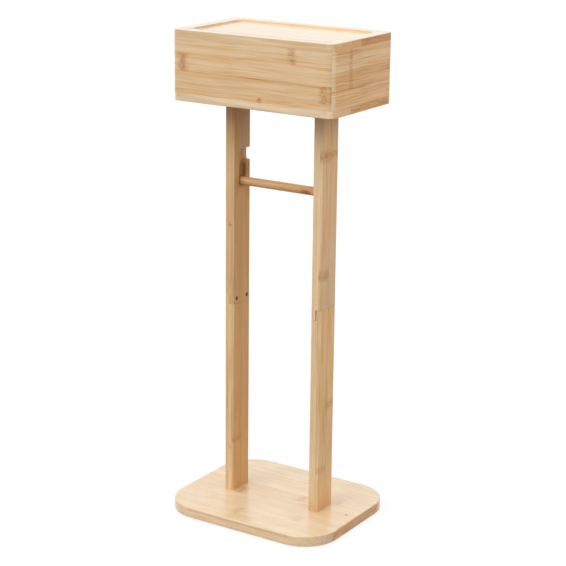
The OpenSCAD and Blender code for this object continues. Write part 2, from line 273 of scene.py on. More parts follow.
def painted_groove_shade(tree, wood, metres, groove):
    """The wood's colour, with the walls of the groove darkened by painted shade, where the recess lies in
    shade.
    """
    # Strength of the painted shade, and the share of its reach at which it starts to fade
    groove_darkening, fade = 0.75, 0.6
    for axis, middle, reach in groove:
        far = add(tree, "ShaderNodeMath", metres.outputs[axis], middle, operation="SUBTRACT")
        far = add(tree, "ShaderNodeMath", far, operation="ABSOLUTE")
        near = add(tree, "ShaderNodeMapRange", far, fade * reach, reach, 1.0, 0.0)
        groove_darkening = add(tree, "ShaderNodeMath", near, groove_darkening, operation="MULTIPLY")
    return add(tree, "ShaderNodeMix", groove_darkening, wood, bpy.context.scene.stand_colours.groove_shade, data_type="RGBA")


def lacquered_bamboo(name, grain, across, strip, start, face, edge, ends=(0.35, 0.9), turn=(0.3, 0.6),
                     end_turn=(0.75, 0.95), end_start=0.0, pale_ends=0, figure=(1.0, 1.0), core=1.0,
                     coat=(0.1, 0.1), shine=0.5, spread=0.15, tones=(), clouds=0.15, last=99, plies=None,
                     seed=0.0, marks=None, red_tone_and_shade_end=None, groove=()):
    """Laminated bamboo: strips glued side by side, sanded, and sprayed with a thin satin lacquer.

    It gives the eye long straight fibres, strips of slightly different tone that turn browner at the side
    that lay under the culm's skin, faint glue lines, brown rings of the culm's joints, and a soft gloss.
    grain and across are axes; strip and start are the width of the strips and where one begins, in mm.
    face, edge and ends hold the lightness and the warmth of the broad faces, the narrow ones and the end
    grain; turn and end_turn are the parts of the normal's length between which one becomes the other.
    The end grain begins at end_start from the middle, in mm, and strips below the number pale_ends have a
    paler one. figure is the strength of the fibres and coat the lacquer's gloss, on the broad faces and
    the others; shine is less where the lacquer has sunk in. core is how fast the fibres change through the
    thickness, against across it. spread is how far the strips' tones lie apart, tones holds a strip's
    number and what it gains, and clouds is the strength of the mottle. last is the number of the last
    strip, which takes in what is left of the width. plies holds the thickness of the layers and the side
    that they are counted from. marks holds rings and blots: the strip's number, with 10 more for each
    layer, the place along the grain and the reach, in mm, and the strength of the line and of the blot,
    and for a knot that doesn't cross the strip its place across the grain and half its width, in mm; None
    lets chance place a ring in each strip. red_tone_and_shade_end holds where along the grain the wood
    starts to turn redder and darker and where it is most so, in mm, and how strongly; at the upper posts'
    tops this is painted shade under the box. groove holds axes, and where along them, in metres, painted
    shade darkens the walls of the groove, and how far that reaches."""
    colours = bpy.context.scene.stand_colours
    material, tree = empty_material("lacquered_bamboo_" + name)
    through = next(axis for axis in "XYZ" if axis not in (grain, across))
    place = add(tree, "ShaderNodeTexCoord")
    metres = add(tree, "ShaderNodeSeparateXYZ", place.outputs["Object"])
    along, wide, deep = (add(tree, "ShaderNodeMath", metres.outputs[axis], 1 / MM, operation="MULTIPLY")
                         for axis in (grain, across, through))
    normal = add(tree, "ShaderNodeSeparateXYZ", place.outputs["Normal"])
    broad, end = (
        add(tree, "ShaderNodeMapRange",
            add(tree, "ShaderNodeMath", normal.outputs[axis], operation="ABSOLUTE"), *limits, 0.0, 1.0)
        for axis, limits in ((through, turn), (grain, end_turn)))
    outside = add(tree, "ShaderNodeMath", along, operation="ABSOLUTE")
    outside = add(tree, "ShaderNodeMath", outside, end_start, operation="GREATER_THAN")
    end = add(tree, "ShaderNodeMath", end, outside, operation="MULTIPLY")

    # On the end grain the streaks follow the strips' width
    board = add(tree, "ShaderNodeCombineXYZ", along, wide, deep)
    board = add(tree, "ShaderNodeMix", end, board, add(tree, "ShaderNodeCombineXYZ", wide, deep, along),
                data_type="VECTOR")
    way = add(tree, "ShaderNodeSeparateXYZ", board).outputs

    # Number of the strip and of its ply, and what chance gives that strip. Past the last strip's own width
    # the row stays just short of the next number
    ply = 0.0
    row = add(tree, "ShaderNodeMath", wide, 1 / strip, -start / strip, operation="MULTIPLY_ADD")
    row = add(tree, "ShaderNodeMath", row, last + 0.9, operation="MINIMUM")
    if plies:
        thick, side = plies
        ply = add(tree, "ShaderNodeMath", deep, -1 / thick, side / thick, operation="MULTIPLY_ADD")
        ply = add(tree, "ShaderNodeMath", ply, operation="FLOOR")
        row = add(tree, "ShaderNodeMath", ply, PLY_SHIFT, row, operation="MULTIPLY_ADD")
    number = add(tree, "ShaderNodeMath", row, operation="FLOOR")
    cell = add(tree, "ShaderNodeMath", ply, PLY_STEP, number, operation="MULTIPLY_ADD")
    key = add(tree, "ShaderNodeCombineXYZ", number, ply, seed + 0.5)
    chance = add(tree, "ShaderNodeTexWhiteNoise", key, noise_dimensions="3D")
    share = add(tree, "ShaderNodeSeparateColor", chance.outputs["Color"])
    jump = add(tree, "ShaderNodeVectorMath", chance.outputs["Color"], operation="SCALE")
    jump.inputs["Scale"].default_value = STRIP_JUMP

    # Fibres drawn out along the grain, which wanders by a few millimetres in every 80 mm or so
    wander = add(tree, "ShaderNodeVectorMath", board, (0.012, 0.03, 0.03), jump, operation="MULTIPLY_ADD")
    wander = add(tree, "ShaderNodeTexNoise", wander, 1.0, 2.0)
    bent = add(tree, "ShaderNodeMath", wander, GRAIN_WANDER, way["Y"], operation="MULTIPLY_ADD")
    drawn = add(tree, "ShaderNodeCombineXYZ", way["X"], bent, way["Z"])
    figured = -sum(weight for *_, weight in FIGURE) / 2
    noises, roughness = [], 0.55
    for slow, fast, detail, weight in FIGURE:
        size = (slow, fast, fast * core)
        noise = add(tree, "ShaderNodeVectorMath", drawn, size, jump, operation="MULTIPLY_ADD")
        noise = add(tree, "ShaderNodeTexNoise", noise, 1.0, detail, roughness)
        figured = add(tree, "ShaderNodeMath", noise, weight, figured, operation="MULTIPLY_ADD")
        noises.append(noise)
    bands, streaks, fibres = noises

    # Clouds about 40 mm long and 17 mm wide, which run on from strip to strip
    mottle = add(tree, "ShaderNodeVectorMath", board, (0.025, 0.06, 0.06), operation="MULTIPLY")
    mottle = add(tree, "ShaderNodeTexNoise", mottle, 1.0, 2.0)

    # Rings of the culm's joints, which wave every 4 mm or so: a thin line across the strip, and a blot in
    # which the fibres part
    wave = add(tree, "ShaderNodeTexNoise", board, 0.25, 2.0)
    wave = add(tree, "ShaderNodeMapRange", wave, *NOISE_SPAN, -RING_WAVE, RING_WAVE)
    waved = add(tree, "ShaderNodeMath", along, wave, operation="ADD")
    line, blot = culm_rings(tree, marks, cell, share.outputs[1], waved, wide)
    blot, fleck = parted_fibres(tree, drawn, jump, blot)

    # The side that lay under the skin is darker and warmer, more in some clouds than in others
    begins, skin_dark, skin_warm = 0.72, 0.5 * spread, 3.0 * spread
    skin = add(tree, "ShaderNodeMath", row, operation="FRACT")
    skin = add(tree, "ShaderNodeMapRange", skin, begins, 1.0, 0.0, 1.0, interpolation_type="SMOOTHSTEP")
    strong = add(tree, "ShaderNodeMapRange", mottle, 0.38, 0.6, 0.2, 1.0)
    skin = add(tree, "ShaderNodeMath", skin, strong, operation="MULTIPLY")

    # Lightness of the strip: its own, and what the flecks, the clouds, the skin and the end grain change
    light = add(tree, "ShaderNodeMath", share.outputs[0], spread, fleck, operation="MULTIPLY_ADD")
    light = add(tree, "ShaderNodeMath", mottle, clouds, light, operation="MULTIPLY_ADD")
    light = add(tree, "ShaderNodeMath", light, (spread + clouds) / 2, operation="SUBTRACT")
    light = add(tree, "ShaderNodeMath", skin, -skin_dark, light, operation="MULTIPLY_ADD")
    for which, gain in tones:
        here = add(tree, "ShaderNodeMath", number, which, 0.5, operation="COMPARE")
        light = add(tree, "ShaderNodeMath", here, gain, light, operation="MULTIPLY_ADD")
    end_gain = 0.25
    paler = add(tree, "ShaderNodeMath", number, pale_ends, operation="LESS_THAN")
    paler = add(tree, "ShaderNodeMath", paler, end, operation="MULTIPLY")
    light = add(tree, "ShaderNodeMath", paler, end_gain, light, operation="MULTIPLY_ADD")

    # Lightness and warmth of the face, the fibres, and the veins, which are darker and warmer
    vein_dark, vein_warm = 0.14, 0.6
    strength = add(tree, "ShaderNodeMix", broad, figure[1], figure[0])
    vein = add(tree, "ShaderNodeMapRange", streaks, 0.3, 0.46, strength, 0.0)
    level, warmth = (
        add(tree, "ShaderNodeMix", end, add(tree, "ShaderNodeMix", broad, narrow, wide_face), cut)
        for narrow, wide_face, cut in zip(edge, face, ends))
    level = add(tree, "ShaderNodeMath", level, light, operation="ADD")
    level = add(tree, "ShaderNodeMath", figured, strength, level, operation="MULTIPLY_ADD")
    level = add(tree, "ShaderNodeMath", vein, -vein_dark, level, operation="MULTIPLY_ADD")
    warmth = add(tree, "ShaderNodeMath", vein, vein_warm, warmth, operation="MULTIPLY_ADD")
    warmth = add(tree, "ShaderNodeMath", skin, skin_warm, warmth, operation="MULTIPLY_ADD")
    straw, honey = (
        add(tree, "ShaderNodeValToRGB", level,
            stops=[(stop, getattr(colours, family + tone)) for stop, tone in TONES])
        for family in ("straw", "honey"))
    wood = add(tree, "ShaderNodeMix", warmth, straw, honey, data_type="RGBA")

    # Glue lines, which come and go
    joint = add(tree, "ShaderNodeMath", row, 0.5, operation="PINGPONG")
    joint = add(tree, "ShaderNodeMapRange", joint, GLUE_LINE[0] / strip, GLUE_LINE[1] / strip, 1.0, 0.0)
    faint = add(tree, "ShaderNodeMapRange", bands, 0.35, 0.65, 0.5, 0.05)
    faint = add(tree, "ShaderNodeMath", faint, strength, operation="MULTIPLY")
    joint = add(tree, "ShaderNodeMath", joint, faint, operation="MULTIPLY")
    wood = add(tree, "ShaderNodeMix", joint, wood, colours.joint, data_type="RGBA")

    # The redder end, which at the upper posts' tops is painted shade under the box, the blots, the rings'
    # lines, and the painted shade on the groove's walls
    if red_tone_and_shade_end:
        *between, most = red_tone_and_shade_end
        red = add(tree, "ShaderNodeMapRange", waved, *between, 0.0, most, interpolation_type="SMOOTHSTEP")
        wood = add(tree, "ShaderNodeMix", red, wood, colours.blot, data_type="RGBA")
    wood = add(tree, "ShaderNodeMix", blot, wood, colours.blot, data_type="RGBA")
    wood = add(tree, "ShaderNodeMix", line, wood, colours.ring, data_type="RGBA")
    if groove:
        wood = painted_groove_shade(tree, wood, metres, groove)

    # The lacquer sinks a little into the fibres, and is duller over the dark streaks
    dull, glossy, fibre_depth = 0.46, 0.36, 0.2 * MM
    rough = add(tree, "ShaderNodeMapRange", streaks, *NOISE_SPAN, dull, glossy)
    bump = add(tree, "ShaderNodeBump", 0.12, fibre_depth, None, fibres)
    shader = add(tree, "ShaderNodeBsdfPrincipled", wood, NO_METAL, rough, REFRACTION, OPAQUE, bump)
    gloss = add(tree, "ShaderNodeMapRange", broad, 0.0, 1.0, coat[1], coat[0])
    tree.links.new(gloss.outputs[0], shader.inputs["Coat Weight"])
    shader.inputs["Specular IOR Level"].default_value = shine
    shader.inputs["Coat Roughness"].default_value = 0.2
    add(tree, "ShaderNodeOutputMaterial", shader)
    return material


def zinc_plated_steel():
    """Zinc-plated steel, turned and tumbled: pale grey with a soft, slightly patchy gloss."""
    material, tree = empty_material("zinc_plated_steel")
    place = add(tree, "ShaderNodeTexCoord")
    # Patches of about 2 mm
    patches = add(tree, "ShaderNodeTexNoise", place.outputs["Object"], 450.0, 3.0)
    tones = ((0.3, linear("#a9adb2")), (0.7, linear("#c6c9cc")))
    colour = add(tree, "ShaderNodeValToRGB", patches, stops=tones)
    rough = add(tree, "ShaderNodeMapRange", patches, *NOISE_SPAN, 0.24, 0.38)
    shader = add(tree, "ShaderNodeBsdfPrincipled", colour, METAL, rough)
    add(tree, "ShaderNodeOutputMaterial", shader)
    return material


def browned_steel():
    """Screw steel browned in a hot salt bath: dark brown, with a dull oily sheen."""
    material, tree = empty_material("browned_steel")
    place = add(tree, "ShaderNodeTexCoord")
    # Patches of about 1 mm
    patches = add(tree, "ShaderNodeTexNoise", place.outputs["Object"], 900.0, 3.0)
    tones = ((0.3, linear("#6a462a")), (0.7, linear("#8a6240")))
    colour = add(tree, "ShaderNodeValToRGB", patches, stops=tones)
    rough = add(tree, "ShaderNodeMapRange", patches, *NOISE_SPAN, 0.4, 0.55)
    shader = add(tree, "ShaderNodeBsdfPrincipled", colour, METAL, rough)
    add(tree, "ShaderNodeOutputMaterial", shader)
    return material


def moulded_rubber():
    """Moulded nitrile rubber: dark grey and matt, with a fine pebbled face."""
    material, tree = empty_material("moulded_rubber")
    place = add(tree, "ShaderNodeTexCoord")
    # Pebbles of about 0.7 mm
    pebbles = add(tree, "ShaderNodeTexVoronoi", place.outputs["Object"], 1400.0)
    tones = ((0.0, linear("#2b2b2d")), (0.8, linear("#3f3f41")))
    colour = add(tree, "ShaderNodeValToRGB", pebbles, stops=tones)
    bump = add(tree, "ShaderNodeBump", 0.4, 0.2 * MM, None, pebbles)
    shader = add(tree, "ShaderNodeBsdfPrincipled", colour, NO_METAL, 0.8, REFRACTION, OPAQUE, bump)
    add(tree, "ShaderNodeOutputMaterial", shader)
    return material


def raw_beech():
    """Raw beech, machined: pinkish tan and matt, with the short dark flecks of its rays."""
    material, tree = empty_material("raw_beech")
    place = add(tree, "ShaderNodeTexCoord")
    # Flecks about 0.4 mm wide and 2 mm long, drawn out upwards
    size = add(tree, "ShaderNodeMapping", place.outputs["Object"], None, None, (2500, 2500, 500))
    flecks = add(tree, "ShaderNodeTexNoise", size, 1.0, 2.0)
    tones = ((0.35, linear("#b98a5e")), (0.6, linear("#dcbc94")))
    colour = add(tree, "ShaderNodeValToRGB", flecks, stops=tones)
    bump = add(tree, "ShaderNodeBump", 0.2, 0.1 * MM, None, flecks)
    shader = add(tree, "ShaderNodeBsdfPrincipled", colour, NO_METAL, 0.7, REFRACTION, OPAQUE, bump)
    add(tree, "ShaderNodeOutputMaterial", shader)
    return material


# Pieces

def dress(node, material):
    """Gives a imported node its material."""
    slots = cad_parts[node].data.materials
    slots.clear()
    slots.append(material)


def finished(obj, node, body, material):
    """Bakes an object's modifiers into its mesh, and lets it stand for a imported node."""
    graph = bpy.context.evaluated_depsgraph_get()
    mesh = bpy.data.meshes.new_from_object(obj.evaluated_get(graph))
    mesh.name = obj.name
    obj.modifiers.clear()
    old, obj.data = obj.data, mesh
    bpy.data.meshes.remove(old)
    mesh.materials.clear()
    mesh.materials.append(material)
    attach(obj, body)
    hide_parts(node)


def new_object(name, points=()):
    """Object whose mesh holds loose points."""
    mesh = bpy.data.meshes.new(name)
    mesh.from_pydata(points, [], [])
    obj = bpy.data.objects.new(name, mesh)
    bpy.context.scene.collection.objects.link(obj)
    return obj


def eased_copy(node, name, ease, sharp_levels, material, body):
    """A node's shape with its sharp edges eased, as sandpaper leaves them.

    Edges that lie at one of the sharp levels stay sharp, because the piece meets another one there."""
    flat_angle, sharp_angle = math.radians(0.5), math.radians(40)
    shape = bmesh.new()
    shape.from_mesh(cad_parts[node].data)
    bmesh.ops.remove_doubles(shape, verts=shape.verts, dist=0.001 * MM)
    bmesh.ops.dissolve_limit(shape, angle_limit=flat_angle, verts=shape.verts, edges=shape.edges)
    weights = shape.edges.layers.float.new("bevel_weight_edge")
    for edge in shape.edges:
        if edge.calc_face_angle() < sharp_angle:
            continue
        heights = [vertex.co.z for vertex in edge.verts]
        in_joint = any(max(abs(z - level) for z in heights) < 0.01 * MM for level in sharp_levels)
        edge.smooth = not in_joint
        edge[weights] = 0.0 if in_joint else 1.0
    for face in shape.faces:
        face.smooth = True
    obj = new_object(name)
    shape.to_mesh(obj.data)
    shape.free()
    bevel = obj.modifiers.new("ease", "BEVEL")
    bevel.width = ease
    bevel.segments = 2
    bevel.limit_method = "WEIGHT"
    bevel.harden_normals = True
    finished(obj, node, body, material)


def new_tree(name, sizes):
    """Geometry Nodes tree with a geometry, named sizes and a material as its inputs."""
    tree = bpy.data.node_groups.new(name, "GeometryNodeTree")
    tree.interface.new_socket("Geometry", in_out="OUTPUT", socket_type="NodeSocketGeometry")
    tree.interface.new_socket("Geometry", in_out="INPUT", socket_type="NodeSocketGeometry")
    for size in sizes:
        tree.interface.new_socket(size, in_out="INPUT", socket_type="NodeSocketFloat")
    tree.interface.new_socket("Material", in_out="INPUT", socket_type="NodeSocketMaterial")
    return tree, add(tree, "NodeGroupInput").outputs


def end_tree(tree, given, piece, turn=(0, 0, 0)):
    """Sets the piece on the given points, and ends the tree with real geometry and its material."""
    sharp_angle = math.radians(35)
    angle = add(tree, "GeometryNodeInputMeshEdgeAngle")
    crease = add(tree, "ShaderNodeMath", angle, sharp_angle, operation="GREATER_THAN")
    piece = add(tree, "GeometryNodeSetShadeSmooth", piece, None, True, domain="FACE")
    piece = add(tree, "GeometryNodeSetShadeSmooth", piece, crease, False, domain="EDGE")
    placed = add(tree, "GeometryNodeInstanceOnPoints", given["Geometry"], None, piece, None, None, turn)
    real = add(tree, "GeometryNodeRealizeInstances", placed)
    real = add(tree, "GeometryNodeSetMaterial", real, None, given["Material"])
    add(tree, "NodeGroupOutput", real)


def turned_tree():
    """Screws and bolts: a turned body with a countersunk head, a thread and a recess.

    They stand head down on the points. Tilt turns each one outwards to its own side, and Flip turns it head
    up."""
    sides, slice_height = 32, 0.25 * MM
    tree, given = new_tree("turned_fastener", (
        "Length", "Head Radius", "Shank Radius", "Tip Radius", "Tip Length", "Thread Start", "Thread Depth",
        "Thread Pitch", "Recess Depth", "Hexagon Width", "Cross Length", "Cross Width", "Tilt", "Flip"))
    slices = add(tree, "ShaderNodeMath", given["Length"], slice_height, operation="DIVIDE")
    blank = add(tree, "GeometryNodeMeshCylinder", sides, slices, 1, 1.0, given["Length"])
    half = add(tree, "ShaderNodeMath", given["Length"], 2.0, operation="DIVIDE")
    blank = add(tree, "GeometryNodeTransform", blank, add(tree, "ShaderNodeCombineXYZ", 0.0, 0.0, half))
    axes = add(tree, "ShaderNodeSeparateXYZ", add(tree, "GeometryNodeInputPosition")).outputs

    # The thread is a groove that climbs by one pitch in each turn
    angle = add(tree, "ShaderNodeMath", axes["Y"], axes["X"], operation="ARCTAN2")
    angle = add(tree, "ShaderNodeMath", angle, FULL_TURN, operation="DIVIDE")
    climb = add(tree, "ShaderNodeMath", axes["Z"], given["Thread Pitch"], operation="DIVIDE")
    climb = add(tree, "ShaderNodeMath", climb, angle, operation="SUBTRACT")
    groove = add(tree, "ShaderNodeMath", climb, 0.5, operation="PINGPONG")
    groove = add(tree, "ShaderNodeMath", groove, 2.0, operation="MULTIPLY")
    start = given["Thread Start"]
    run_in = add(tree, "ShaderNodeMath", start, given["Thread Pitch"], operation="ADD")
    deep = add(tree, "ShaderNodeMapRange", axes["Z"], start, run_in, 0.0, given["Thread Depth"])
    groove = add(tree, "ShaderNodeMath", groove, deep, operation="MULTIPLY")
    shank = add(tree, "ShaderNodeMath", given["Shank Radius"], groove, operation="SUBTRACT")

    # Head, shank and tip
    head = add(tree, "ShaderNodeMath", given["Head Radius"], axes["Z"], operation="SUBTRACT")
    radius = add(tree, "ShaderNodeMath", head, shank, operation="MAXIMUM")
    slope = add(tree, "ShaderNodeMath", given["Shank Radius"], given["Tip Radius"], operation="SUBTRACT")
    slope = add(tree, "ShaderNodeMath", slope, given["Tip Length"], operation="DIVIDE")
    left = add(tree, "ShaderNodeMath", given["Length"], axes["Z"], operation="SUBTRACT")
    tip = add(tree, "ShaderNodeMath", left, slope, given["Tip Radius"], operation="MULTIPLY_ADD")
    radius = add(tree, "ShaderNodeMath", radius, tip, operation="MINIMUM")
    x, y = (add(tree, "ShaderNodeMath", axes[axis], radius, operation="MULTIPLY") for axis in "XY")
    outline = add(tree, "ShaderNodeCombineXYZ", x, y, axes["Z"])
    body = add(tree, "GeometryNodeSetPosition", blank, None, outline)

    # Hexagonal socket and cross recess; one of the two has no size
    depth = add(tree, "ShaderNodeMath", given["Recess Depth"], 2.0, operation="MULTIPLY")
    corner = add(tree, "ShaderNodeMath", given["Hexagon Width"], math.sqrt(3), operation="DIVIDE")
    socket = add(tree, "GeometryNodeMeshCylinder", 6, 1, 1, corner, depth)
    cross = (given["Cross Length"], given["Cross Width"])
    bars = [add(tree, "GeometryNodeMeshCube", add(tree, "ShaderNodeCombineXYZ", *size, depth))
            for size in (cross, cross[::-1])]
    for tool in [socket] + bars:
        body = add(tree, "GeometryNodeMeshBoolean", body, tool, operation="DIFFERENCE", solver="EXACT")

    place = add(tree, "ShaderNodeSeparateXYZ", add(tree, "GeometryNodeInputPosition"))
    side = add(tree, "ShaderNodeMath", place, operation="SIGN")
    tilt = add(tree, "ShaderNodeMath", side, given["Tilt"], operation="MULTIPLY")
    end_tree(tree, given, body, add(tree, "ShaderNodeCombineXYZ", given["Flip"], tilt, 0.0))
    return tree


def pad_tree():
    """Moulded pads: flat discs whose sides bulge, standing on each point."""
    sides, slices, fullness = 48, 10, 4.0
    tree, given = new_tree("moulded_pad", ("Radius", "Thickness", "Edge"))
    blank = add(tree, "GeometryNodeMeshCylinder", sides, slices, 1, 1.0, given["Thickness"])
    axes = add(tree, "ShaderNodeSeparateXYZ", add(tree, "GeometryNodeInputPosition")).outputs
    half = add(tree, "ShaderNodeMath", given["Thickness"], 2.0, operation="DIVIDE")
    height = add(tree, "ShaderNodeMath", axes["Z"], half, operation="DIVIDE")
    height = add(tree, "ShaderNodeMath", height, operation="ABSOLUTE")
    edge = add(tree, "ShaderNodeMath", height, fullness, operation="POWER")
    edge = add(tree, "ShaderNodeMath", edge, given["Edge"], operation="MULTIPLY")
    radius = add(tree, "ShaderNodeMath", given["Radius"], edge, operation="SUBTRACT")
    x, y = (add(tree, "ShaderNodeMath", axes[axis], radius, operation="MULTIPLY") for axis in "XY")
    z = add(tree, "ShaderNodeMath", axes["Z"], half, operation="ADD")
    pad = add(tree, "GeometryNodeSetPosition", blank, None, add(tree, "ShaderNodeCombineXYZ", x, y, z))
    end_tree(tree, given, pad)
    return tree


def four_places(node, inset_x, inset_y, z):
    """The places of four like things, set in from the sides of their node's box."""
    _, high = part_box(node)
    return [(x * (high.x - inset_x), y * (high.y - inset_y), z) for x in (-1, 1) for y in (-1, 1)]


def repeated(node, name, points, tree, sizes, material):
    """One mesh of like things, which a tree sets on the points. It rides on the stand."""
    obj = new_object(name, points)
    nodes = obj.modifiers.new("pattern", "NODES")
    nodes.node_group = tree
    given = {item.name: item.identifier for item in tree.interface.items_tree if item.in_out == "INPUT"}
    for size, value in sizes.items():
        nodes[given[size]] = value
    nodes[given["Material"]] = material
    finished(obj, node, "stand", material)


class STAND_OT_base(bpy.types.Operator):
    """Base plate of strips glued side by side"""
    bl_idname = "stand.base"
    bl_label = "Base"

    def execute(self, context):
        sizes = context.scene.stand_sizes
        low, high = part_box("base_plate")
        dress("base_plate", lacquered_bamboo(
            "base", "X", "Y", sizes.base_strip / MM, low.y / MM - SKIM, face=(0.68, 0.0), edge=(0.73, 0.3),
            ends=(0.47, 1.0), end_turn=(0.97, 0.995), figure=(0.3, 0.5), coat=(1.0, 0.5), spread=0.06,
            clouds=0.35, plies=(sizes.ply / MM, high.z / MM + SKIM), seed=3,
            marks=((1, -18, 10, 0.0, 0.3), (2, -75, 12, 0.0, 0.15), (2, 66, 14, 0.0, 0.2),
                   (4, -55, 12, 0.0, 0.5), (4, 115.5, 3, 0.6, 0.8, -2.5, 2.0), (5, 35, 10, 0.0, 0.3),
                   (6, 85, 10, 0.0, 0.25))))
        return {"FINISHED"}


class STAND_OT_pads(bpy.types.Operator):
    """Non-slip pads under the base"""
    bl_idname = "stand.pads"
    bl_label = "Pads"

    def execute(self, context):
        low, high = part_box("base_pads")
        radius = 9 * MM
        shape = {"Radius": radius, "Thickness": high.z - low.z, "Edge": 0.5 * MM}
        points = four_places("base_pads", radius, radius, low.z)
        repeated("base_pads", "pads", points, pad_tree(), shape, moulded_rubber())
        return {"FINISHED"}


class STAND_OT_posts(bpy.types.Operator):
    """The two pieces of each post, with the half lap and the rod's groove"""
    bl_idname = "stand.posts"
    bl_label = "Posts"

    def execute(self, context):
        sizes = context.scene.stand_sizes
        # Lightness and warmth of the broad and of the narrow faces, strength of the fibres, redder end and
        # rings. The upper posts' redder, darker top ends are painted shade under the box; the lower right
        # post turns redder towards its foot
        pieces = {
            "left_lower_post": ((0.43, 0.4), (0.52, 0.05), (0.2, 0.5), None,
                                ((0, 95, 9, 0.0, 0.3), (10, 83, 6, 0.0, 0.35))),
            "left_upper_post": ((0.49, 0.5), (0.64, 0.35), (0.2, 0.5), (490, 590, 0.42),
                                ((10, 409, 5, 0.0, 0.35), (1, 483, 20, 0.0, 0.5))),
            "right_lower_post": ((0.7, 0.6), (0.56, 0.0), (0.55, 0.5), (50, 16, 0.3),
                                 ((1, 170, 10, 0.0, 0.4), (0, 78, 10, 0.0, 0.25))),
            "right_upper_post": ((0.86, 1.0), (0.84, 0.4), (0.6, 0.4), (530, 590, 0.35),
                                 ((0, 521, 12, 0.0, 0.5), (1, 521, 9, 0.0, 0.35), (0, 358, 12, 0.0, 0.5)))}
        # The middle of the groove's painted shade lies so far inside the rod's end, behind the rod's axis
        # and above its top, and the painted shade reaches so far from there
        inside, behind, above = 4 * MM, 1 * MM, 4 * MM
        reach = (5.5 * MM, 10 * MM, 19 * MM)
        _, rod_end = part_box("roll_rod")
        for seed, (node, (face, edge, figure, red_tone_and_shade_end, marks)) in enumerate(pieces.items(), 11):
            low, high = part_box(node)
            middle = (math.copysign(rod_end.x - inside, low.x), behind, rod_end.z + above)
            wood = lacquered_bamboo(
                node, "Z", "Y", sizes.post_strip / MM, low.y / MM - SKIM, face=face, edge=edge,
                figure=figure, shine=0.1, spread=0.08, plies=(sizes.ply / MM, high.x / MM + SKIM),
                seed=seed, marks=marks, red_tone_and_shade_end=red_tone_and_shade_end, groove=tuple(zip("XYZ", middle, reach)))
            eased_copy(node, node + "_eased", sizes.ease, (low.z, high.z), wood, "stand")
        return {"FINISHED"}


class STAND_OT_rod(bpy.types.Operator):
    """Round rod that carries the roll"""
    bl_idname = "stand.rod"
    bl_label = "Rod"

    def execute(self, context):
        low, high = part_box("roll_rod")
        half = (high.z - low.z) / 2 / MM
        # The first strip and the first layer reach so far past the rod that no glue line meets its axis
        beside, above = 4.5, 1.5
        tone = (0.43, 0.45)
        dress("roll_rod", lacquered_bamboo(
            "rod", "X", "Y", 2 * half, -half - beside, face=tone, edge=tone, figure=(0.6, 0.6), spread=0.1,
            plies=(half, high.z / MM + above), seed=31,
            marks=((10, 41.5, 9, 0.8, 1.8), (10, 44.5, 9, 0.8, 1.8))))
        return {"FINISHED"}


class STAND_OT_box(bpy.types.Operator):
    """Floor and mitred walls of the storage box"""
    bl_idname = "stand.box"
    bl_label = "Box"

    def execute(self, context):
        sizes = context.scene.stand_sizes
        strip = sizes.strip / MM
        low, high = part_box("box_floor")
        # corner is a painted highlight: the short walls' round corners are drawn paler where the light
        # catches them
        straw, honey, corner = (0.64, 0.26), (0.73, 1.0), (0.92, 0.7)
        # On the long and on the short walls a strip begins so far above the floor board
        long_start, short_start = high.z / MM + 7.5, high.z / MM + 0.3
        # The walls' ends are mitred, so no end grain shows, because no normal is as long as this end_turn;
        # the short walls' round corners are painted paler, as a painted highlight
        wall = {"core": 0.2, "end_turn": (1.5, 2.0)}
        long_wall = wall | {"face": straw, "edge": straw, "figure": (0.55, 0.55)}
        short_wall = wall | {
            "face": honey, "edge": corner, "turn": (0.97, 0.999), "spread": 0.08, "last": 2}
        dress("front_wall", lacquered_bamboo(
            "front_wall", "X", "Z", strip, long_start, seed=41, tones=((0, -0.04),),
            marks=((-1, 15, 6, 0.0, 0.6), (0, 121.3, 6, 0.3, 0.3), (0, 113, 12, 0.0, 0.5),
                   (1, -107, 12, 0.1, 0.6), (2, 64, 10, 0.05, 0.45)), **long_wall))
        dress("back_wall", lacquered_bamboo("back_wall", "X", "Z", strip, long_start, seed=42, **long_wall))
        dress("left_wall", lacquered_bamboo(
            "left_wall", "Y", "Z", strip, short_start, seed=43, **short_wall))
        dress("right_wall", lacquered_bamboo(
            "right_wall", "Y", "Z", strip, short_start, seed=44, tones=((1, -0.06), (2, 0.03)),
            marks=((1, -32, 7, 0.0, 0.35), (2, -32, 7, 0.0, 0.4)), **short_wall))
        dress("box_floor", lacquered_bamboo(
            "box_floor", "X", "Y", strip, low.y / MM - SKIM, face=(0.6, 0.0), edge=(0.9, 0.3),
            ends=(0.5, 1.0), pale_ends=2, figure=(0.5, 0.6), spread=0.05, seed=45, marks=()))
        return {"FINISHED"}


class STAND_OT_lid(bpy.types.Operator):
    """Lid board with its tray, and the battens that keep it in place"""
    bl_idname = "stand.lid"
    bl_label = "Lid"

    def execute(self, context):
        sizes = context.scene.stand_sizes
        low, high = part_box("lid_board")
        # End grain shows this near to the board's ends, and not on the tray's walls
        end_reach = 9
        board = lacquered_bamboo(
            "lid", "X", "Y", sizes.strip / MM, low.y / MM - SKIM, face=(0.77, 0.0), edge=(0.67, 0.2),
            ends=(0.4, 1.0), end_turn=(0.9, 0.995), end_start=high.x / MM - end_reach, pale_ends=3,
            figure=(0.3, 0.45), coat=(1.0, 0.1), spread=0.05, seed=51, marks=())
        tone, narrow_strip = (0.5, 0.2), 12.0
        batten = lacquered_bamboo("battens", "Y", "X", narrow_strip, 0.0, face=tone, edge=tone, seed=52)
        eased_copy("lid_board", "lid", sizes.ease, (low.z,), board, "lid")
        eased_copy("lid_battens", "lid_battens_eased", sizes.ease, (low.z,), batten, "lid")
        return {"FINISHED"}


